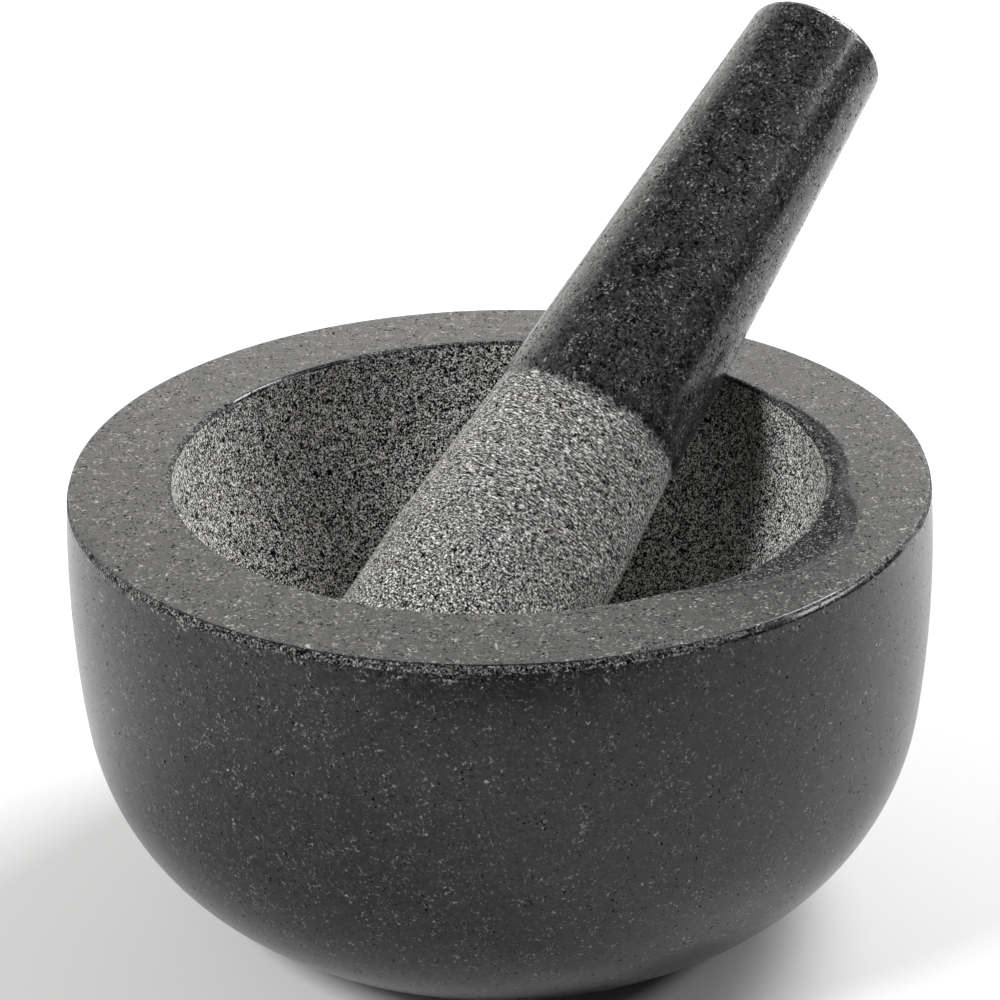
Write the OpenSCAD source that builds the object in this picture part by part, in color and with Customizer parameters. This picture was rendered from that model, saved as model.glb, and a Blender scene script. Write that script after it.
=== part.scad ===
// Stone mortar with its loose pestle leaning in it.
// Millimetres, +Z up. The origin is the centre of the mortar's flat base, and the mortar's axis is Z.
// The mortar is one turned block of stone: a slightly barrelled wall, a round knee, a flat base,
// a flat rim with small bevels, a round cavity and one shallow pouring scoop at the rim's inner edge,
// which thins out along that edge to a narrow tail.
// The pestle is a second block: a tapered polished handle and a rougher grinding head with a round tip.

/* [Mortar outside] */
// Diameter of the mortar at the edge of its rim
rim_d = 150; // [140:0.5:160]
// Height of the rim above the base
bowl_h = 80; // [76:0.5:88]
// Diameter of the flat base
base_d = 82; // [72:0.5:96]
// How far the widest place of the wall is below the rim
belly_drop = 19.8; // [16:0.1:24]
// How much wider the radius is there than at the rim
belly_bulge = 0.82; // [0.6:0.01:1]
// Inward tilt of the wall where the round knee begins, in degrees
knee_tilt = 6.1; // [4:0.1:8]
// Height of the steep bevel around the outside of the rim
bevel_drop = 1.2; // [0.6:0.1:2]
// Width of that bevel, seen from above
bevel_width = 0.4; // [0.2:0.1:1.2]

/* [Cavity] */
// Diameter of the cavity, whose floor is half a sphere of the same diameter
cavity_d = 114; // [110:0.5:116]
// Depth of the straight wall above the half sphere
cavity_wall = 3; // [1:0.5:5]
// Bevel around the inside of the rim
inner_bevel = 0.8; // [0.2:0.1:1.5]

/* [Pouring scoop] */
// Direction of the scoop about the mortar's axis, from +X towards +Y, in degrees
scoop_side = -36; // [-90:1:0]
// Distance from the mortar's axis to the scoop's far edge on the rim
scoop_reach = 66.5; // [60:0.5:70]
// Radius of the scoop's outline on the rim
scoop_round = 31; // [26:0.5:40]
// Depth of the scoop where it meets the cavity's wall
scoop_depth = 1.6; // [1:0.1:4]
// Direction of the middle of the scoop's tail, in degrees
tail_side = -5; // [-60:1:20]
// Distance from the mortar's axis to the tail's far edge on the rim
tail_reach = 60.7; // [59.5:0.1:64]
// Radius of the tail's outline on the rim
tail_round = 46; // [36:0.5:50]
// Depth of the tail where it meets the cavity's wall
tail_depth = 1; // [0.4:0.1:2]

/* [Pestle] */
// Length of the pestle from end to end
pestle_l = 168; // [150:0.5:190]
// Diameter of the round grinding head
head_d = 41.8; // [38:0.1:44]
// Diameter of the handle at its top end
top_d = 27; // [22:0.5:32]
// Length of the rough grinding end, from its tip
ground_l = 74.8; // [60:0.1:90]
// How much the grinding end swells beyond a straight taper
head_swell = 0.5; // [0:0.1:1]
// Depth of the turned step where the polished handle begins
neck_step = 0.4; // [0.1:0.1:0.8]
// Rounding of the edge of the handle's top end
top_round = 2.2; // [0.5:0.1:5]

/* [Resting pose] */
// Lean of the pestle from upright, in degrees
lean = 54.5; // [50:0.5:58]
// Direction of the lean about the mortar's axis, from +X towards +Y, in degrees
lean_side = 51.2; // [20:0.1:120]
// Clearance between the pestle and the mortar at both places where it rests
rest_gap = 0.25; // [0.1:0.05:0.5]

/* [Hidden] */
$fn = 96;
eps = 0.01;
overshoot = 1;
arc_steps = 24;
head_steps = 16;
edge_steps = 8;
neck_blend = 2.5;

rim_r = rim_d / 2;
base_r = base_d / 2;
cavity_r = cavity_d / 2;
head_r = head_d / 2;
top_r = top_d / 2;

// The wall is one long arc whose widest place is belly_drop below the rim.
belly_rise = belly_drop - bevel_drop;
belly_round = (belly_rise * belly_rise + belly_bulge * belly_bulge) / (2 * belly_bulge);
belly_x = rim_r + belly_bulge - belly_round;
belly_z = bowl_h - belly_drop;
belly_top_angle = asin(belly_rise / belly_round);

// The knee is tangent to the wall where the wall tilts by knee_tilt, and it ends at the edge of the base.
// knee_shift is how far the knee's centre lies from the wall arc's centre.
base_out = base_r - belly_x;
knee_shift = (base_out * base_out + belly_z * belly_z - belly_round * belly_round)
    / (2 * (base_out * cos(knee_tilt) + belly_z * sin(knee_tilt) - belly_round));
knee_round = belly_round - knee_shift;
knee_x = belly_x + knee_shift * cos(knee_tilt);
knee_z = belly_z - knee_shift * sin(knee_tilt);
knee_end_angle = atan2(knee_z, base_r - knee_x);

// The cavity's half sphere is centred on the axis.
cavity_z = bowl_h - cavity_wall;

// The pestle's radius falls evenly from the head's centre to the top end.
taper = (head_r - top_r) / (pestle_l - head_r);
taper_angle = atan(taper);
function taper_r(z) = head_r - taper * (z - head_r);

// In the upright plane of the lean, the handle's lower side rests on the rim's inner edge
// and the round head rests on the cavity's floor. Both are rest_gap clear.
// along is the pestle's axis and across points from the axis to the rim's edge, as [out, up].
along = [sin(lean), cos(lean)];
across = [cos(lean), -sin(lean)];
rim_edge = [cavity_r + inner_bevel, bowl_h - cavity_z];
reach_dir = across + taper * along;
reach_len = norm(reach_dir);
side_gap = rest_gap / cos(taper_angle);
swing_r = cavity_r - head_r - rest_gap;
swing_angle = acos((rim_edge * reach_dir - head_r - side_gap) / (swing_r * reach_len));
head_angle = atan2(reach_dir[1], reach_dir[0]) - swing_angle;
head_out = swing_r * cos(head_angle);
head_up = cavity_z + swing_r * sin(head_angle);

// Points of an arc about [x, z] from one angle to another.
function arc(x, z, r, from, to, steps = arc_steps) = [
    for (i = [0:steps])
        let (a = from + (to - from) * i / steps)
        [x + r * cos(a), z + r * sin(a)]
];

module mortar_outline() {
    polygon(concat(
        [[0, 0]],
        arc(knee_x, knee_z, knee_round, -knee_end_angle, -knee_tilt),
        arc(belly_x, belly_z, belly_round, -knee_tilt, belly_top_angle),
        [[rim_r - bevel_width, bowl_h], [0, bowl_h]]
    ));
}

module cavity() {
    translate([0, 0, cavity_z]) {
        sphere(r = cavity_r);
        cylinder(r = cavity_r, h = cavity_wall + overshoot);
    }
    translate([0, 0, bowl_h - inner_bevel])
        cylinder(r1 = cavity_r, r2 = cavity_r + inner_bevel + eps, h = inner_bevel + eps);
}

// Part of a ball above the rim. Its outline on the rim is round. It is depth deep at the cavity's wall.
module ball_cut(side, reach, outline_r, depth) {
    offset_r = reach - outline_r;
    run = cavity_r - offset_r;
    rise = (outline_r * outline_r - run * run - depth * depth) / (2 * depth);
    rotate([0, 0, side])
        translate([offset_r, 0, bowl_h + rise])
            sphere(r = norm([outline_r, rise]));
}

module pouring_scoop() {
    ball_cut(scoop_side, scoop_reach, scoop_round, scoop_depth);
    ball_cut(tail_side, tail_reach, tail_round, tail_depth);
}

module mortar_bowl() {
    color("#3a3b3d")
        difference() {
            rotate_extrude() mortar_outline();
            cavity();
            pouring_scoop();
        }
}

// Half of the pestle's outline, from the tip at 0 up to the flat top end.
module pestle_outline() {
    side_start = head_r * (1 + sin(taper_angle));
    side_r = head_r * cos(taper_angle);
    neck_r = taper_r(ground_l) - neck_step;
    round_z = pestle_l - top_round;
    polygon(concat(
        arc(0, head_r, head_r, -90, taper_angle),
        [
            for (i = [1:head_steps])
                let (t = i / head_steps)
                [
                    side_r + (neck_r - side_r) * t + head_swell * sin(180 * t),
                    side_start + (ground_l - side_start) * t
                ]
        ],
        [[taper_r(ground_l + neck_blend), ground_l + neck_blend]],
        arc(taper_r(round_z) - top_round, round_z, top_round, taper_angle, 90, edge_steps),
        [[0, pestle_l]]
    ));
}

module pestle() {
    color("#2b2c2e")
        rotate([0, 0, lean_side])
            translate([head_out, 0, head_up])
                rotate([0, lean, 0])
                    translate([0, 0, -head_r])
                        rotate_extrude() pestle_outline();
}

mortar_bowl();
pestle();
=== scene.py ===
"""Looks of the stone mortar with its pestle. A finer mesh of the same shape replaces each CAD node.

The meshes are worked out in millimetres from the CAD model's driving sizes, and stored in metres.
The relief of the ground surfaces is real geometry; the stone's grain and polish are procedural materials.
"""

import math

import bpy
import numpy as np
from mathutils import Matrix, Vector


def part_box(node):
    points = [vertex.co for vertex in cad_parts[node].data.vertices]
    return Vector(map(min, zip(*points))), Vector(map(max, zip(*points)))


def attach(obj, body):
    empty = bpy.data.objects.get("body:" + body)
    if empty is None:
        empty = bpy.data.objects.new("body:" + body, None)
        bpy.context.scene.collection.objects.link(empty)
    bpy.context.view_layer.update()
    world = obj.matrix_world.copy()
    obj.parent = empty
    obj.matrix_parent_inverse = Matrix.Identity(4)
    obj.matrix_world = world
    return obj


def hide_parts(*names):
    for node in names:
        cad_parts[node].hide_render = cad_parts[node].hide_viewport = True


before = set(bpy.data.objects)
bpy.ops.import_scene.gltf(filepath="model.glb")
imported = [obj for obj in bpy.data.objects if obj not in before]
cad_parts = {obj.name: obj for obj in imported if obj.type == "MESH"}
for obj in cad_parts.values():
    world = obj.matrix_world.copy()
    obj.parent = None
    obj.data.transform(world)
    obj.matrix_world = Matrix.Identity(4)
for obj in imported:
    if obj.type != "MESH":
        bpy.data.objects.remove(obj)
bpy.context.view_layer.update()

MM = 0.001

# Mortar, in millimetres, as in the CAD model
RIM_R = 75.0
BOWL_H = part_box("mortar_bowl")[1].z / MM
BASE_R = 41.0
BELLY_DROP = 19.8
BELLY_BULGE = 0.82
KNEE_TILT = math.radians(6.1)
BEVEL_DROP = 1.2
BEVEL_WIDTH = 0.4
CAVITY_R = 57.0
CAVITY_WALL = 3.0
INNER_BEVEL = 0.8

# Ball cuts of the pouring scoop and its tail: direction in degrees, reach, outline radius, depth at wall
SCOOP_CUTS = ((-36.0, 66.5, 31.0, 1.6), (-5.0, 60.7, 46.0, 1.0))

# The rim is flat beyond FLAT_FROM_R, and the scoop lies less than NEAR_RIM below its top
FLAT_FROM_R = 68.0
NEAR_RIM = 6.0

# Outer bevel where it is worn wider, and how far its two rounded corners reach
WORN_WIDTH = 0.85
WORN_DROP = 1.05
TOP_CORNER = 0.20
LOW_CORNER = 0.22
CORNER_STEPS = 4

# Stretches of the rim's edges: direction of the middle and half width in degrees, sharpness of the ends
WORN_STRETCH = (275.0, 55.0, 8)
SMOOTHED_STRETCH = (317.0, 19.0, 2)
CHIPPED_STRETCH = (338.0, 28.0, 8)
GLOSSY_STRETCH = (134.0, 14.0, 6)

# Pestle, in millimetres and degrees, as in the CAD model
PESTLE_L = 168.0
HEAD_R = 20.9
TOP_R = 13.5
GROUND_L = 74.8
HEAD_SWELL = 0.5
NECK_STEP = 0.4
NECK_BLEND = 2.5
TOP_ROUND = 2.2
LEAN = math.radians(54.5)
LEAN_SIDE = math.radians(51.2)

# Relief of the ground surfaces: height, blob size and seed of each noise, in millimetres
HOLLOW_RELIEF = ((0.10, 1.7, 11), (0.08, 3.4, 12), (0.14, 11.0, 13))
HEAD_TURNING = ((0.05, 0.9, 21),)
HEAD_RELIEF = ((0.05, 1.5, 22), (0.10, 6.0, 23))

# Camera: it looks at the centre of the rim, from above the horizon
CAM_ELEVATION = math.radians(24.2)
CAM_DISTANCE = 478.4 * MM
CAM_ROLL = math.radians(-1.09)
CAM_LENS = 98.46
SENSOR = 36.0
CAM_SHIFT_X = 0.0013
CAM_SHIFT_Y = -0.0374

# Surroundings, seen only in reflections and as soft light. Directions are from +X towards +Y, in degrees
BACKDROP_AZIMUTH = 125.0
BACKDROP_LEVEL = 1.7
ROOM_LEVEL = 0.05
CEILING_SHARE = 0.03
GLOW_AZIMUTH = 358.0
GLOW_ELEVATION = 46.0
GLOW_HALF_ANGLE = 21.0
GLOW_LEVEL = 0.8
LIGHT_DISTANCE = 1.2

# Gloss of the stone: its index of refraction, the roughness of each kind of surface, and the bump's depth
STONE_IOR = 1.43
GROUND_ROUGHNESS = 0.85
PIT_ROUGHNESS = 0.8
BOWL_POLISH = 0.24
WORN_POLISH = 0.12
PESTLE_POLISH = 0.20
BUMP_MM = 0.30


# ---------------------------------------------------------------- noise for real relief


def lattice(ix, iy, iz, seed):
    """A repeatable random value from 0 to 1 for each whole lattice point."""
    h = ix * 374761393 + iy * 668265263 + iz * 2147483647 + seed * 1274126177
    h = (h ^ (h >> 13)) * 1274126177
    h = h ^ (h >> 16)
    return (h & 0xFFFFFF) / float(0xFFFFFF)


def value_noise(points, size, seed):
    """Smooth noise from -1 to 1 whose blobs are about size across. points is (n, 3)."""
    p = points / size
    base = np.floor(p).astype(np.int64)
    f = p - base
    f = f * f * (3 - 2 * f)
    total = np.zeros(len(points))
    for dx in (0, 1):
        wx = f[:, 0] if dx else 1 - f[:, 0]
        for dy in (0, 1):
            wy = f[:, 1] if dy else 1 - f[:, 1]
            for dz in (0, 1):
                wz = f[:, 2] if dz else 1 - f[:, 2]
                corner = lattice(base[:, 0] + dx, base[:, 1] + dy, base[:, 2] + dz, seed)
                total += wx * wy * wz * corner
    return total * 2 - 1


def relief(points, layers):
    """The sum of several noises, each given as its height, blob size and seed."""
    return sum(height * value_noise(points, size, seed) for height, size, seed in layers)


def chip_depth(points, size, seed, depth, threshold):
    """Small hollows where a noise passes the threshold, and 0 between them."""
    return depth * np.clip(value_noise(points, size, seed) - threshold, 0, None)


# ---------------------------------------------------------------- meshes


def arc(x, z, r, start, end, steps):
    """Points (x, z) of an arc, without its first point."""
    angles = np.linspace(start, end, steps + 1)[1:]
    return np.stack([x + r * np.cos(angles), z + r * np.sin(angles)], -1)


def ring_mesh(name, points, closed_ends):
    """A mesh from a grid of points (rows, columns, 3), in millimetres, joined around and closed."""
    rows, cols, _ = points.shape
    verts = np.concatenate([points.reshape(-1, 3), np.array(closed_ends)]) * MM
    i, j = np.meshgrid(np.arange(rows - 1), np.arange(cols), indexing="ij")
    a = i * cols + j
    b = i * cols + (j + 1) % cols
    quads = np.stack([a, b, b + cols, a + cols], -1).reshape(-1, 4)
    faces = quads.tolist()
    first, last = rows * cols, rows * cols + 1
    top = (rows - 1) * cols
    faces += [[(k + 1) % cols, k, first] for k in range(cols)]
    faces += [[top + k, top + (k + 1) % cols, last] for k in range(cols)]
    mesh = bpy.data.meshes.new(name)
    mesh.from_pydata(verts.tolist(), [], faces)
    mesh.polygons.foreach_set("use_smooth", [True] * len(mesh.polygons))
    mesh.update()
    obj = bpy.data.objects.new(name, mesh)
    bpy.context.scene.collection.objects.link(obj)
    return obj


def add_attribute(obj, name, grid_values, end_values=(0, 0)):
    """Stores one value for each point of a ring mesh: those of its grid, then those of its end points."""
    values = np.concatenate([grid_values.reshape(-1), end_values])
    layer = obj.data.attributes.new(name, "FLOAT", "POINT")
    layer.data.foreach_set("value", np.asarray(values, np.float32))


def scoop_depth(x, y):
    """Depth of the pouring scoop below the rim: that of the deeper of its two ball cuts, or 0."""
    depth = np.zeros_like(x)
    for side, reach, outline_r, wall_depth in SCOOP_CUTS:
        offset = reach - outline_r
        run = CAVITY_R - offset
        rise = (outline_r**2 - run**2 - wall_depth**2) / (2 * wall_depth)
        ball_r = math.hypot(outline_r, rise)
        angle = math.radians(side)
        d2 = (x - offset * math.cos(angle)) ** 2 + (y - offset * math.sin(angle)) ** 2
        cut = np.sqrt(np.clip(ball_r**2 - d2, 0, None)) - rise
        depth = np.maximum(depth, cut)
    return depth


def soft_corner(before, corner, after, size, steps):
    """Points that round a corner, starting and ending size away from it."""
    corner = np.array(corner)
    start = corner + size * (before - corner) / np.linalg.norm(before - corner)
    end = corner + size * (after - corner) / np.linalg.norm(after - corner)
    t = np.linspace(0, 1, steps + 1)[:, None]
    return start * (1 - t) ** 2 + corner * 2 * t * (1 - t) + end * t**2


def bevel_profile(width, drop):
    """Points (r, z) across the rim's outer bevel, with its two corners softened."""
    on_flat = np.array([RIM_R - 10.0, BOWL_H])
    bevel_top = np.array([RIM_R - width, BOWL_H])
    bevel_low = np.array([RIM_R, BOWL_H - drop])
    on_wall = np.array([RIM_R + 0.1, BOWL_H - BEVEL_DROP - 1.4])
    top_corner = soft_corner(on_flat, bevel_top, bevel_low, TOP_CORNER, CORNER_STEPS)
    low_corner = soft_corner(bevel_top, bevel_low, on_wall, LOW_CORNER, CORNER_STEPS)
    return np.concatenate([top_corner, low_corner])


def wall_profile():
    """Points (r, z) from below the bevel down the wall to the edge of the base."""
    wall_steps = 30
    knee_steps = 38
    belly_rise = BELLY_DROP - BEVEL_DROP
    belly_round = (belly_rise**2 + BELLY_BULGE**2) / (2 * BELLY_BULGE)
    belly_x = RIM_R + BELLY_BULGE - belly_round
    belly_z = BOWL_H - BELLY_DROP
    top_angle = math.asin(belly_rise / belly_round)
    out = BASE_R - belly_x
    shift = (out**2 + belly_z**2 - belly_round**2) / (
        2 * (out * math.cos(KNEE_TILT) + belly_z * math.sin(KNEE_TILT) - belly_round)
    )
    knee_round = belly_round - shift
    knee_x = belly_x + shift * math.cos(KNEE_TILT)
    knee_z = belly_z - shift * math.sin(KNEE_TILT)
    knee_end = math.atan2(knee_z, BASE_R - knee_x)
    wall = arc(belly_x, belly_z, belly_round, top_angle, -KNEE_TILT, wall_steps)
    knee = arc(knee_x, knee_z, knee_round, -KNEE_TILT, -knee_end, knee_steps)
    return np.concatenate([wall, knee])


def stretch(theta, middle, half_width, sharpness):
    """1 in the middle of a stretch of directions, fading to 0 around it. theta is in radians."""
    away = (np.degrees(theta) - middle + 180.0) % 360.0 - 180.0
    return np.exp(-((away / half_width) ** sharpness))


class Rings:
    """Rings of points about the mortar's axis, each with how ground and how bevelled the stone is there."""

    def __init__(self, cols):
        self.cols = cols
        self.theta = np.arange(cols) * 2 * math.pi / cols
        self.cos = np.cos(self.theta)
        self.sin = np.sin(self.theta)
        self.rows = []
        self.ground = []
        self.bevel = []

    def scoop_depth(self, r):
        """Depth of the pouring scoop along a ring of radius r."""
        return scoop_depth(r * self.cos, r * self.sin)

    def add(self, r, z, ground=0.0, bevel=0.0):
        """Adds a ring. Each value is one number, or one for each direction."""
        shape = (self.cols,)
        r = np.broadcast_to(r, shape)
        self.rows.append(np.stack([r * self.cos, r * self.sin, np.broadcast_to(z, shape)], -1))
        self.ground.append(np.broadcast_to(ground, shape))
        self.bevel.append(np.broadcast_to(bevel, shape))


def add_hollow(rings, cavity_z, glossy):
    """The ground hollow from its floor up to the rim. Its rounded edge is polished where glossy is 1."""
    sphere_rows = 116
    wall_rows = 4
    edge_rows = 6
    edge_bevel = 0.75
    for k in range(1, sphere_rows + 1):
        a = -math.pi / 2 + math.pi / 2 * k / sphere_rows
        rings.add(CAVITY_R * math.cos(a), cavity_z + CAVITY_R * math.sin(a), ground=1.0)
    lip_z = BOWL_H - rings.scoop_depth(CAVITY_R) - INNER_BEVEL
    for k in range(1, wall_rows):
        rings.add(CAVITY_R, cavity_z + (lip_z - cavity_z) * k / wall_rows, ground=1.0)
    rings.add(CAVITY_R, lip_z, ground=1.0)
    for k in range(1, edge_rows + 1):
        a = math.pi / 2 * k / edge_rows
        r = CAVITY_R + INNER_BEVEL * (1 - math.cos(a))
        z = BOWL_H - rings.scoop_depth(r) - INNER_BEVEL * (1 - math.sin(a))
        rings.add(r, z, bevel=edge_bevel * (1.0 - glossy))


def add_rim(rings):
    """The rim's top from the hollow's edge to the outer bevel, closer rings where the scoop is."""
    scoop_rows = 30
    flat_rows = 5
    before_bevel = RIM_R - WORN_WIDTH - 0.5
    scoop_r = np.linspace(CAVITY_R + INNER_BEVEL, FLAT_FROM_R, scoop_rows + 1)[1:]
    flat_r = np.linspace(FLAT_FROM_R, before_bevel, flat_rows + 1)[1:]
    for r in np.concatenate([scoop_r, flat_r]):
        rings.add(r, BOWL_H - rings.scoop_depth(r))


def add_outer_bevel(rings, smoothed):
    """The outer bevel, crisp at the sides, worn wider in front, and smooth stone where smoothed is 1."""
    chip_bevel = 0.6
    upper_wear = 0.25
    worn = stretch(rings.theta, *WORN_STRETCH)
    chipped = stretch(rings.theta, *CHIPPED_STRETCH)
    crisp = bevel_profile(BEVEL_WIDTH, BEVEL_DROP)
    soft = bevel_profile(WORN_WIDTH, WORN_DROP)
    for k, ((crisp_r, crisp_z), (soft_r, soft_z)) in enumerate(zip(crisp, soft)):
        if k < CORNER_STEPS:
            bevel = chip_bevel * chipped
        elif k == CORNER_STEPS:
            bevel = 1.0 - upper_wear * smoothed
        elif k == len(crisp) - 1:
            bevel = 0.0
        else:
            bevel = 1.0 - smoothed
        rings.add(crisp_r + (soft_r - crisp_r) * worn, crisp_z + (soft_z - crisp_z) * worn, bevel=bevel)


def add_outside(rings):
    """The wall, the knee and the base up to near its middle."""
    base_rows = 7
    innermost_r = 4.0
    for r, z in wall_profile():
        rings.add(r, z)
    for r in np.linspace(BASE_R, innermost_r, base_rows + 1)[1:]:
        rings.add(r, 0.0)


def roughen_hollow(grid, ground, cavity_z):
    """Relief of the ground hollow, about a tenth of a millimetre along its normals, and none elsewhere."""
    flat = grid.reshape(-1, 3)
    inward = np.array([0, 0, cavity_z]) - flat
    inward[:, 2] = np.where(flat[:, 2] > cavity_z, 0, inward[:, 2])
    inward /= np.maximum(np.linalg.norm(inward, axis=1, keepdims=True), 1e-6)
    rough = relief(flat, HOLLOW_RELIEF) - chip_depth(flat, 2.1, 14, 0.28, 0.55)
    flat = flat + inward * (rough * ground.reshape(-1))[:, None]
    return flat.reshape(grid.shape)


def make_bowl():
    cavity_z = BOWL_H - CAVITY_WALL
    rings = Rings(384)
    smoothed = np.clip(1.6 * stretch(rings.theta, *SMOOTHED_STRETCH), 0, 1)
    glossy = stretch(rings.theta, *GLOSSY_STRETCH)
    add_hollow(rings, cavity_z, glossy)
    add_rim(rings)
    add_outer_bevel(rings, smoothed)
    add_outside(rings)

    # The mesh's rows run from the base to the hollow's floor
    ground = np.array(rings.ground)[::-1]
    bevel = np.array(rings.bevel)[::-1]
    grid = roughen_hollow(np.array(rings.rows)[::-1], ground, cavity_z)
    bottom, floor = [0, 0, 0], [0, 0, cavity_z - CAVITY_R]
    bowl = ring_mesh("bowl_stone", grid, [bottom, floor])

    x, y, z = grid[:, :, 0], grid[:, :, 1], grid[:, :, 2]
    from_axis = np.hypot(x, y)
    # The wall and the base lie under the scoop too, so only points near the rim count
    in_scoop = np.clip(scoop_depth(x, y) / 0.6, 0, 1) * (z > BOWL_H - NEAR_RIM)
    on_edge = (from_axis > RIM_R - 1.2 * WORN_WIDTH) & (z > BOWL_H - 1.5 * WORN_DROP)
    on_lip = (from_axis < CAVITY_R + 1.2 * INNER_BEVEL) & (z > BOWL_H - INNER_BEVEL)
    add_attribute(bowl, "ground", ground, (0, 1))
    add_attribute(bowl, "scoop", in_scoop)
    add_attribute(bowl, "bevel", bevel)
    add_attribute(bowl, "shiny", on_edge * smoothed + on_lip * glossy)
    return bowl


def pestle_profile():
    """Points (r, z) along the pestle from just above its tip to its top end."""
    tip_steps, side_steps, neck_steps, handle_steps, edge_steps, end_steps = 52, 96, 6, 75, 10, 7
    innermost_r = 1.0
    taper = (HEAD_R - TOP_R) / (PESTLE_L - HEAD_R)
    taper_angle = math.atan(taper)

    def taper_r(z):
        return HEAD_R - taper * (z - HEAD_R)

    tip = arc(0, HEAD_R, HEAD_R, -math.pi / 2, taper_angle, tip_steps)

    side_start = HEAD_R * (1 + math.sin(taper_angle))
    side_r = HEAD_R * math.cos(taper_angle)
    neck_r = taper_r(GROUND_L) - NECK_STEP
    t = np.linspace(0, 1, side_steps + 1)[1:]
    swollen_r = side_r + (neck_r - side_r) * t + HEAD_SWELL * np.sin(math.pi * t)
    head_side = np.stack([swollen_r, side_start + (GROUND_L - side_start) * t], -1)

    s = np.linspace(0, 1, neck_steps + 1)[1:]
    blend = s * s * (3 - 2 * s)
    neck_z = GROUND_L + NECK_BLEND * s
    neck = np.stack([taper_r(neck_z) - NECK_STEP * (1 - blend), neck_z], -1)

    end_z = PESTLE_L - TOP_ROUND
    handle_z = np.linspace(GROUND_L + NECK_BLEND, end_z, handle_steps + 1)[1:]
    handle = np.stack([taper_r(handle_z), handle_z], -1)

    inner = taper_r(end_z) - TOP_ROUND
    edge = arc(inner, end_z, TOP_ROUND, taper_angle, math.pi / 2, edge_steps)
    end_r = np.linspace(inner, innermost_r, end_steps + 1)[1:]
    end = np.stack([end_r, np.full_like(end_r, PESTLE_L)], -1)
    return np.concatenate([tip, head_side, neck, handle, edge, end])


def lathe(r, z, theta):
    """A grid of points from columns r and z, turned about the Z axis to the directions theta."""
    return np.stack([r * np.cos(theta), r * np.sin(theta), np.broadcast_to(z, (len(z), len(theta)))], -1)


def make_pestle():
    cols = 300
    fade_length = 2.0
    turning_r = 5.0
    theta = np.arange(cols) * 2 * math.pi / cols
    profile = pestle_profile()
    tangent = np.gradient(profile, axis=0)
    tangent /= np.linalg.norm(tangent, axis=1, keepdims=True)
    grid = lathe(profile[:, 0:1], profile[:, 1:2], theta)
    outward = lathe(tangent[:, 1:2], -tangent[:, 0:1], theta)

    flat = grid.reshape(-1, 3)
    fade = np.clip((GROUND_L - flat[:, 2]) / fade_length, 0, 1)
    # Turning marks run around the head: their noise is read at a smaller radius, so it is longer around
    angle = np.arctan2(flat[:, 1], flat[:, 0])
    around = np.stack([np.cos(angle) * turning_r, np.sin(angle) * turning_r, flat[:, 2]], -1)
    rough = relief(around, HEAD_TURNING) + relief(flat, HEAD_RELIEF)
    rough -= chip_depth(flat, 1.8, 24, 0.25, 0.6)
    flat = flat + outward.reshape(-1, 3) * (rough * fade)[:, None]
    return ring_mesh("pestle_stone", flat.reshape(grid.shape), [[0, 0, 0], [0, 0, PESTLE_L]])


def place_pestle(pestle):
    """Keeps the pestle's own coordinates for its grain, leans it and centres it on the CAD pestle's box."""
    mesh = pestle.data
    own = np.empty(len(mesh.vertices) * 3, np.float32)
    mesh.vertices.foreach_get("co", own)
    layer = mesh.attributes.new("own_place", "FLOAT_VECTOR", "POINT")
    layer.data.foreach_set("vector", own)
    mesh.transform(Matrix.Rotation(LEAN_SIDE, 4, "Z") @ Matrix.Rotation(LEAN, 4, "Y"))
    points = np.empty(len(mesh.vertices) * 3, np.float32)
    mesh.vertices.foreach_get("co", points)
    points = points.reshape(-1, 3)
    low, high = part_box("pestle")
    middle = (Vector(points.min(0)) + Vector(points.max(0))) / 2
    mesh.transform(Matrix.Translation((low + high) / 2 - middle))
    mesh.update()


# ---------------------------------------------------------------- materials


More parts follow.
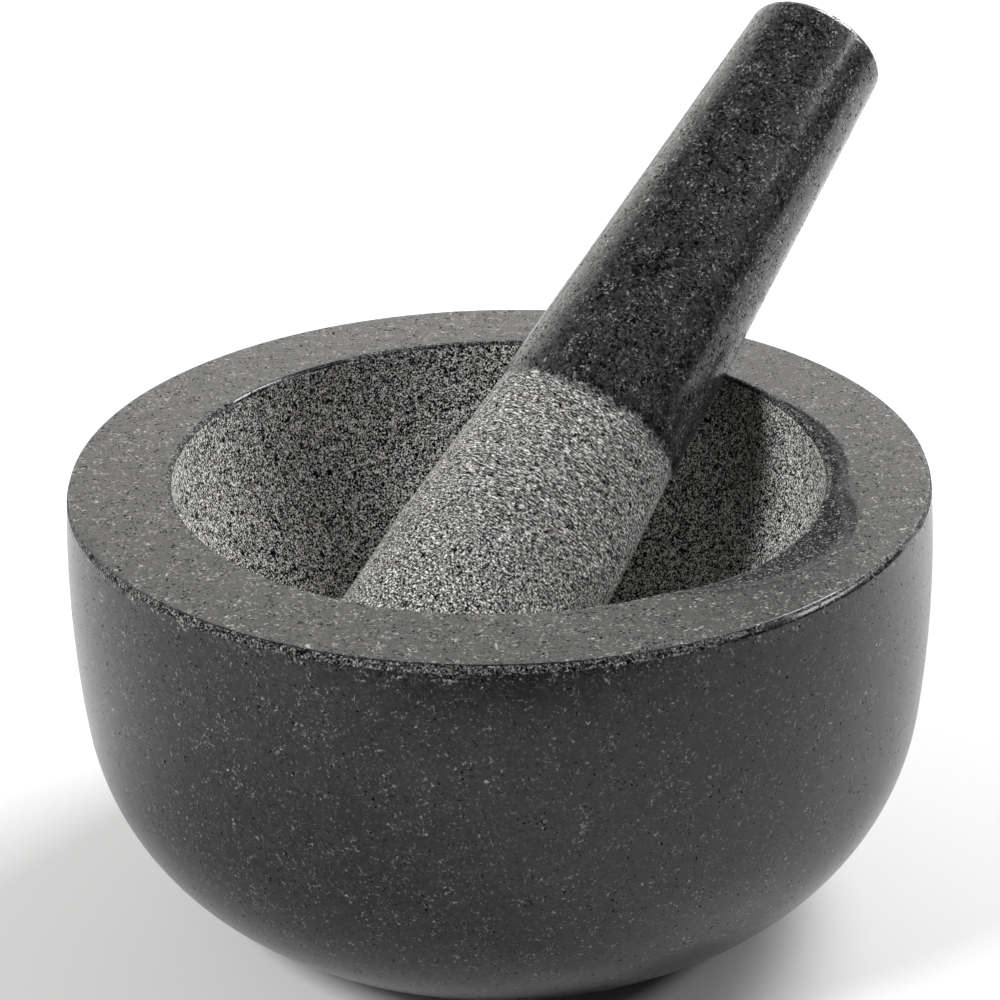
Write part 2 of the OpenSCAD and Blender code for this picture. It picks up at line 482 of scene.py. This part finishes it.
class Tree:
    """A material, with short methods that add and link its shader nodes."""

    def __init__(self, name, own_place=False):
        self.material = bpy.data.materials.new(name)
        self.material.use_nodes = True
        self.nodes = self.material.node_tree.nodes
        self.links = self.material.node_tree.links
        self.shader = self.nodes["Principled BSDF"]
        if own_place:
            n = self.nodes.new("ShaderNodeAttribute")
            n.attribute_name = "own_place"
            self.place = n.outputs["Vector"]
        else:
            self.place = self.nodes.new("ShaderNodeTexCoord").outputs["Object"]

    def link(self, source, target):
        """Links an output to an input, or sets the input when source is a number or a colour."""
        if isinstance(source, (int, float, tuple)):
            target.default_value = source
        else:
            self.links.new(source, target)

    def shade(self, name, source):
        """Links a changing value to one of the shader's own sockets."""
        self.links.new(source, self.shader.inputs[name])

    def noise(self, size_mm, detail=2.0, rough=0.5, place=None, distort=0.0):
        n = self.nodes.new("ShaderNodeTexNoise")
        n.inputs["Scale"].default_value = 1.0 / (size_mm * MM)
        n.inputs["Detail"].default_value = detail
        n.inputs["Roughness"].default_value = rough
        n.inputs["Distortion"].default_value = distort
        self.links.new(place or self.place, n.inputs["Vector"])
        return n.outputs["Fac"]

    def ramp(self, value, low, high, out_low=0.0, out_high=1.0, smooth=True):
        n = self.nodes.new("ShaderNodeMapRange")
        n.interpolation_type = "SMOOTHSTEP" if smooth else "LINEAR"
        n.inputs["From Min"].default_value = low
        n.inputs["From Max"].default_value = high
        n.inputs["To Min"].default_value = out_low
        n.inputs["To Max"].default_value = out_high
        self.links.new(value, n.inputs["Value"])
        return n.outputs["Result"]

    def math(self, operation, a, b=0.0, clamp=False):
        n = self.nodes.new("ShaderNodeMath")
        n.operation = operation
        n.use_clamp = clamp
        self.link(a, n.inputs[0])
        self.link(b, n.inputs[1])
        return n.outputs[0]

    def weighted(self, a, weight_a, b, weight_b):
        """The sum of two values, each times its weight."""
        return self.math("ADD", self.math("MULTIPLY", a, weight_a), self.math("MULTIPLY", b, weight_b))

    def swing(self, value, width):
        """A noise from 0 to 1, moved to lie around 0 and made width wide."""
        return self.math("MULTIPLY", self.math("SUBTRACT", value, 0.5), width)

    def mix(self, factor, a, b, blend="MIX"):
        n = self.nodes.new("ShaderNodeMix")
        n.data_type = "RGBA"
        n.blend_type = blend
        self.link(factor, n.inputs[0])
        self.link(a, n.inputs[6])
        self.link(b, n.inputs[7])
        return n.outputs[2]

    def mix_value(self, factor, a, b):
        n = self.nodes.new("ShaderNodeMix")
        n.data_type = "FLOAT"
        self.link(factor, n.inputs[0])
        self.link(a, n.inputs[2])
        self.link(b, n.inputs[3])
        return n.outputs[0]

    def attribute(self, name):
        n = self.nodes.new("ShaderNodeAttribute")
        n.attribute_name = name
        return n.outputs["Fac"]

    def axis(self, name):
        n = self.nodes.new("ShaderNodeSeparateXYZ")
        self.links.new(self.place, n.inputs[0])
        return n.outputs[name]

    def stretched(self, scale):
        n = self.nodes.new("ShaderNodeMapping")
        n.inputs["Scale"].default_value = scale
        self.links.new(self.place, n.inputs["Vector"])
        return n.outputs[0]

    def turned(self, degrees, stretch):
        """The texture space turned by the three angles, then stretched along its own axes."""
        n = self.nodes.new("ShaderNodeMapping")
        n.vector_type = "TEXTURE"
        n.inputs["Rotation"].default_value = [math.radians(angle) for angle in degrees]
        n.inputs["Scale"].default_value = stretch
        self.links.new(self.place, n.inputs["Vector"])
        return n.outputs[0]

    def rgb(self, value):
        n = self.nodes.new("ShaderNodeCombineColor")
        for socket in ("Red", "Green", "Blue"):
            self.links.new(value, n.inputs[socket])
        return n.outputs[0]

    def bump(self, height, distance_mm):
        n = self.nodes.new("ShaderNodeBump")
        n.inputs["Distance"].default_value = distance_mm * MM
        n.inputs["Strength"].default_value = 1.0
        self.links.new(height, n.inputs["Height"])
        return n.outputs["Normal"]


def grey(value, warm=0.0):
    return (value * (1 + warm), value, value * (1 - warm), 1.0)


# Directions of the long pale crystals, as rotations in degrees, and how much they are stretched
CRYSTAL_TURNS = ((20, 35, 10), (75, 10, 100), (130, 60, 55))
CRYSTAL_STRETCH = (1.0, 3.0, 1.0)


def crystals(t, low, high):
    """Thin pale crystals that lie in several directions, about 0.3 mm wide and 1 mm long."""
    strongest = None
    for turn in CRYSTAL_TURNS:
        place = t.turned(turn, CRYSTAL_STRETCH)
        layer = t.ramp(t.noise(0.36, 0.5, 0.5, place, distort=0.4), low, high, smooth=False)
        strongest = layer if strongest is None else t.math("MAXIMUM", strongest, layer)
    return strongest


def polished_colour(t, mass, speck, drift_range, pale_from, pits_from, coarser=0.0, black_crystals=0.0):
    """Charcoal granite cut smooth: a mottled dark mass, pale crystals in drifts, and small pits painted
    black as painted shade inside them.

    coarser, from 0, adds more crystals and pits where the polish is poorer. black_crystals, from 0 to 1,
    is how little light the dark part of the mass returns. Gives the colour, a value that is 1 in the pits,
    and one that is 1 in the pits and up to black_crystals in the dark part of the mass.
    """
    clouds = t.noise(5.0, 3.0, 0.6)
    mottle = t.weighted(t.noise(0.9, 3.0, 0.65), 0.7, clouds, 0.3)
    base = t.mix(t.ramp(mottle, 0.36, 0.62), grey(0.002), mass)
    black = t.ramp(mottle, 0.46, 0.38, 0.0, black_crystals)
    drift = t.ramp(t.noise(2.6, 3.0, 0.6), *drift_range, 0.15, 1.0)
    long_ones = t.math("MULTIPLY", crystals(t, pale_from + 0.10, pale_from + 0.26), 0.6)
    small_noise = t.math("ADD", t.noise(0.60, 2.0, 0.6, distort=0.5), coarser)
    small_ones = t.ramp(small_noise, pale_from, pale_from + 0.18, smooth=False)
    pale = t.math("MULTIPLY", t.math("MAXIMUM", long_ones, small_ones), drift, clamp=True)
    base = t.mix(pale, base, speck)
    clusters = t.ramp(t.noise(2.2, 2.0, 0.6), 0.60, 0.42, 0.0, 0.10)
    hole = t.math("SUBTRACT", t.math("ADD", t.noise(0.48, 1.0, 0.6), clusters), coarser)
    pits = t.ramp(hole, pits_from, pits_from - 0.04)
    # The pits are dents in the bump, painted black and kept from reflecting by the metallic value: painted
    # shade inside them
    return t.mix(pits, base, grey(0.001)), pits, t.math("MAXIMUM", pits, black)


def ground_colour(t, middle, spread, grain, pits):
    """Granite ground rough: white crushed crystals between black ones. grain is noise from 0 to 1.

    Gives the colour, and a value that is 1 on the black grains and in the pits.
    """
    tone = t.math("ADD", t.swing(grain, spread), middle, clamp=True)
    brightness = t.math("POWER", t.math("MAXIMUM", tone, 0.03), 2.2)
    rust = t.ramp(t.noise(2.2, 2.0, 0.6), 0.60, 0.72, 0.0, 0.5)
    tint = t.mix(rust, (1.0, 0.99, 0.97, 1.0), (1.0, 0.86, 0.74, 1.0))
    colour = t.mix(1.0, tint, t.rgb(brightness), "MULTIPLY")
    black = t.math("MAXIMUM", pits, t.ramp(tone, 0.22, 0.04))
    # The pits are painted near black and kept from reflecting by the metallic value: painted shade inside
    # the dents
    return t.mix(pits, colour, grey(0.004)), black


def stone_height(t, ground, grain, rough_pits, smooth_pits):
    """Relief of the grain: fine where the stone is polished, coarse where it is ground."""
    pit_depth = 0.4
    waves = t.math("MULTIPLY", t.noise(0.6, 2.0, 0.6), 0.03)
    shallow = t.math("SUBTRACT", waves, t.math("MULTIPLY", smooth_pits, pit_depth))
    deep = t.math("SUBTRACT", grain, t.math("MULTIPLY", rough_pits, pit_depth))
    return t.mix_value(ground, shallow, deep)


def bowl_material():
    """Polished stone outside and on the rim, ground in the hollow, rough-cut on the bevels, and ground in
    the scoop, where it is painted dark as painted shade.
    """
    t = Tree("mortar granite")
    ground = t.attribute("ground")
    bevel = t.attribute("bevel")
    on_rim = t.ramp(t.axis("Z"), (BOWL_H - 2.8) * MM, (BOWL_H - 2.3) * MM)
    scoop = t.attribute("scoop")
    smooth, smooth_pits, smooth_black = polished_colour(
        t,
        mass=grey(0.0145, 0.01),
        speck=grey(0.36, 0.03),
        drift_range=(0.40, 0.66),
        pale_from=0.60,
        pits_from=0.35,
        coarser=t.math("MULTIPLY", on_rim, 0.055),
    )
    coarse = t.noise(0.95, 2.0, 0.6)
    grain = t.weighted(t.noise(0.34, 2.0, 0.7), 0.77, coarse, 0.23)
    # Pits of the ground stone: dents in the bump, painted black as painted shade inside them
    pits = t.ramp(t.noise(1.5, 2.5, 0.6), 0.39, 0.33)
    rough, rough_black = ground_colour(t, 0.45, 7.2, grain, pits)
    edge_stone, edge_black = ground_colour(t, 0.24, 2.8, grain, pits)
    # The scoop's ground stone is painted far darker than the hollow's and mostly kept from reflecting:
    # painted shade
    scoop_painted_shade_stone, scoop_shade_black = ground_colour(t, 0.08, 3.8, grain, pits)
    scoop_shade_black = t.math("MAXIMUM", scoop_shade_black, 0.8)

    # The outlines of the bevels and of the scoop are frayed by the coarse grain
    ragged = t.ramp(t.math("ADD", bevel, t.swing(coarse, 0.4)), 0.40, 0.65)
    # Where the scoop is, the stone is ground rough and painted dark with painted shade
    scoop_rough_painted_dark = t.ramp(t.math("ADD", scoop, t.swing(coarse, 1.6)), 0.20, 0.85, 0.0, 0.95)
    colour = t.mix(scoop_rough_painted_dark, smooth, scoop_painted_shade_stone)
    colour = t.mix(t.math("MULTIPLY", ragged, 0.9), colour, edge_stone)
    black = t.mix_value(ragged, t.mix_value(scoop_rough_painted_dark, smooth_black, scoop_shade_black), edge_black)
    cut = t.math("MAXIMUM", ground, t.math("MAXIMUM", ragged, scoop_rough_painted_dark))
    polish = t.mix_value(t.attribute("shiny"), BOWL_POLISH, WORN_POLISH)
    polished_roughness = t.mix_value(smooth_pits, polish, PIT_ROUGHNESS)
    t.shade("Base Color", t.mix(ground, colour, rough))
    t.shade("Roughness", t.mix_value(cut, polished_roughness, GROUND_ROUGHNESS))
    t.shade("Metallic", t.mix_value(ground, black, rough_black))
    t.shade("Normal", t.bump(stone_height(t, ground, grain, pits, smooth_pits), BUMP_MM))
    t.shader.inputs["IOR"].default_value = STONE_IOR
    return t.material


def pestle_material():
    """A polished handle and a ground head, with turning streaks near the neck and grain near the tip."""
    t = Tree("pestle granite", own_place=True)
    along = t.axis("Z")
    wobble = t.swing(t.noise(4.0, 3.0, 0.7), 7.0 * MM)
    frayed = t.swing(t.noise(0.8, 2.0, 0.6), 5.0 * MM)
    edge = t.math("ADD", along, t.math("ADD", wobble, frayed))
    ground = t.ramp(edge, (GROUND_L + 0.6) * MM, (GROUND_L - 1.6) * MM)
    smooth, smooth_pits, smooth_black = polished_colour(
        t,
        mass=grey(0.034),
        speck=grey(0.46, 0.02),
        drift_range=(0.40, 0.62),
        pale_from=0.572,
        pits_from=0.45,
        black_crystals=0.75,
    )
    streaks = t.noise(1.0, 2.0, 0.75, t.stretched((1.0, 1.0, 4.5)))
    grains = t.noise(0.38, 2.0, 0.7)
    towards_tip = t.ramp(along, 0.72 * GROUND_L * MM, 0.35 * GROUND_L * MM, 0.35, 0.75)
    grain = t.mix_value(towards_tip, streaks, grains)
    # Pits of the ground head: dents in the bump, painted black as painted shade inside them
    pits = t.ramp(t.noise(1.2, 1.5, 0.6), 0.34, 0.29)
    rough, rough_black = ground_colour(t, 0.42, 4.2, grain, pits)
    polished_roughness = t.mix_value(smooth_pits, PESTLE_POLISH, PIT_ROUGHNESS)
    t.shade("Base Color", t.mix(ground, smooth, rough))
    t.shade("Roughness", t.mix_value(ground, polished_roughness, GROUND_ROUGHNESS))
    t.shade("Metallic", t.mix_value(ground, smooth_black, rough_black))
    t.shade("Normal", t.bump(stone_height(t, ground, grain, pits, smooth_pits), BUMP_MM))
    t.shader.inputs["IOR"].default_value = STONE_IOR
    return t.material


# ---------------------------------------------------------------- set: camera, floor and lights


def make_camera():
    data = bpy.data.cameras.new("camera")
    data.sensor_width = SENSOR
    data.lens = CAM_LENS
    data.shift_x = CAM_SHIFT_X
    data.shift_y = CAM_SHIFT_Y
    data.clip_start = 0.01
    data.clip_end = 100.0
    camera = bpy.data.objects.new("camera", data)
    bpy.context.scene.collection.objects.link(camera)
    forward = Vector((0, math.cos(CAM_ELEVATION), -math.sin(CAM_ELEVATION)))
    side = Vector((1, 0, 0))
    above = side.cross(forward)
    right = side * math.cos(CAM_ROLL) + above * math.sin(CAM_ROLL)
    up = above * math.cos(CAM_ROLL) - side * math.sin(CAM_ROLL)
    spot = Vector((0, 0, BOWL_H * MM)) - forward * CAM_DISTANCE
    turn = Matrix((right, up, -forward)).transposed().to_4x4()
    camera.matrix_world = Matrix.Translation(spot) @ turn
    bpy.context.scene.camera = camera


def flat_card(name, low_x, high_x, low_y, high_y, height):
    """A level rectangle that belongs to the set, and the material that covers it."""
    mesh = bpy.data.meshes.new(name)
    outline = ((low_x, low_y), (high_x, low_y), (high_x, high_y), (low_x, high_y))
    mesh.from_pydata([(x, y, height) for x, y in outline], [], [(0, 1, 2, 3)])
    card = bpy.data.objects.new(name, mesh)
    bpy.context.scene.collection.objects.link(card)
    t = Tree(name)
    mesh.materials.append(t.material)
    return card, t


def make_floor():
    half = 3.0
    floor, t = flat_card("floor", -half, half, -half, half, 0)
    t.shade("Base Color", t.mix(t.noise(60.0, 2.0, 0.5), grey(0.68), grey(0.70)))
    t.shader.inputs["Roughness"].default_value = 0.9


def make_flag():
    """A black card on the floor in front, seen only in reflections, that darkens the wall under the rim."""
    near, far, half, height = -0.26, -1.2, 0.45, 0.001
    flag, t = flat_card("flag", -half, half, far, near, height)
    t.shader.inputs["Base Color"].default_value = (0.01, 0.01, 0.01, 1)
    t.shader.inputs["Roughness"].default_value = 1.0
    flag.visible_camera = False
    flag.visible_diffuse = False
    flag.visible_shadow = False


def direction(azimuth, elevation):
    """Unit vector towards an azimuth, from +X towards +Y, and an elevation, both in degrees."""
    a, e = math.radians(azimuth), math.radians(elevation)
    return Vector((math.cos(a) * math.cos(e), math.sin(a) * math.cos(e), math.sin(e)))


def softbox(name, azimuth, elevation, width, height, power, roll=0.0):
    """A rectangular light that faces the centre of the rim, rolled about its own direction in degrees."""
    data = bpy.data.lights.new(name, "AREA")
    data.shape = "RECTANGLE"
    data.size = width
    data.size_y = height
    data.energy = power
    light = bpy.data.objects.new(name, data)
    bpy.context.scene.collection.objects.link(light)
    away = direction(azimuth, elevation)
    target = Vector((0, 0, BOWL_H * MM))
    facing = away.to_track_quat("Z", "Y").to_matrix().to_4x4()
    rolled = facing @ Matrix.Rotation(math.radians(roll), 4, "Z")
    light.matrix_world = Matrix.Translation(target + away * LIGHT_DISTANCE) @ rolled


def towards(nodes, links, place, azimuth, elevation):
    """How much a direction points towards the given azimuth and elevation, from -1 to 1."""
    n = nodes.new("ShaderNodeVectorMath")
    n.operation = "DOT_PRODUCT"
    n.inputs[1].default_value = direction(azimuth, elevation)
    links.new(place, n.inputs[0])
    return n.outputs["Value"]


def faded(nodes, links, value, low, high, out_low, out_high):
    n = nodes.new("ShaderNodeMapRange")
    n.interpolation_type = "SMOOTHSTEP"
    n.inputs["From Min"].default_value = low
    n.inputs["From Max"].default_value = high
    n.inputs["To Min"].default_value = out_low
    n.inputs["To Max"].default_value = out_high
    links.new(value, n.inputs["Value"])
    return n.outputs["Result"]


def make_world():
    """A pale backdrop behind and to the left of the mortar, a soft glow high on the right, a dark room."""
    world = bpy.data.worlds.new("studio")
    bpy.context.scene.world = world
    world.use_nodes = True
    nodes, links = world.node_tree.nodes, world.node_tree.links
    place = nodes.new("ShaderNodeTexCoord").outputs["Generated"]
    side = towards(nodes, links, place, BACKDROP_AZIMUTH, 0)
    backdrop = faded(nodes, links, side, 0.05, 0.40, ROOM_LEVEL, BACKDROP_LEVEL)
    up = towards(nodes, links, place, 0, 90)
    high = faded(nodes, links, up, 0.42, 0.80, 1.0, CEILING_SHARE)
    glow_edge = math.cos(math.radians(GLOW_HALF_ANGLE))
    to_glow = towards(nodes, links, place, GLOW_AZIMUTH, GLOW_ELEVATION)
    glow = faded(nodes, links, to_glow, glow_edge, 1.0, 0.0, GLOW_LEVEL)
    product = nodes.new("ShaderNodeMath")
    product.operation = "MULTIPLY_ADD"
    links.new(backdrop, product.inputs[0])
    links.new(high, product.inputs[1])
    links.new(glow, product.inputs[2])
    background = nodes["Background"]
    background.inputs["Color"].default_value = (1.0, 0.985, 0.965, 1)
    links.new(product.outputs[0], background.inputs["Strength"])


def make_lights():
    softbox("back_right", azimuth=45, elevation=37, width=0.65, height=0.65, power=22.0)
    softbox("front_left", azimuth=214, elevation=40, width=0.35, height=0.35, power=13.2)
    softbox("right", azimuth=6, elevation=26, width=0.55, height=0.20, power=4.4, roll=-31)
    bpy.context.scene.view_settings.view_transform = "Standard"


def main():
    make_camera()
    bowl = make_bowl()
    bowl.data.materials.append(bowl_material())
    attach(bowl, "mortar")
    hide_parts("mortar_bowl")
    pestle = make_pestle()
    place_pestle(pestle)
    pestle.data.materials.append(pestle_material())
    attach(pestle, "pestle")
    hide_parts("pestle")
    make_floor()
    make_flag()
    make_world()
    make_lights()


main()
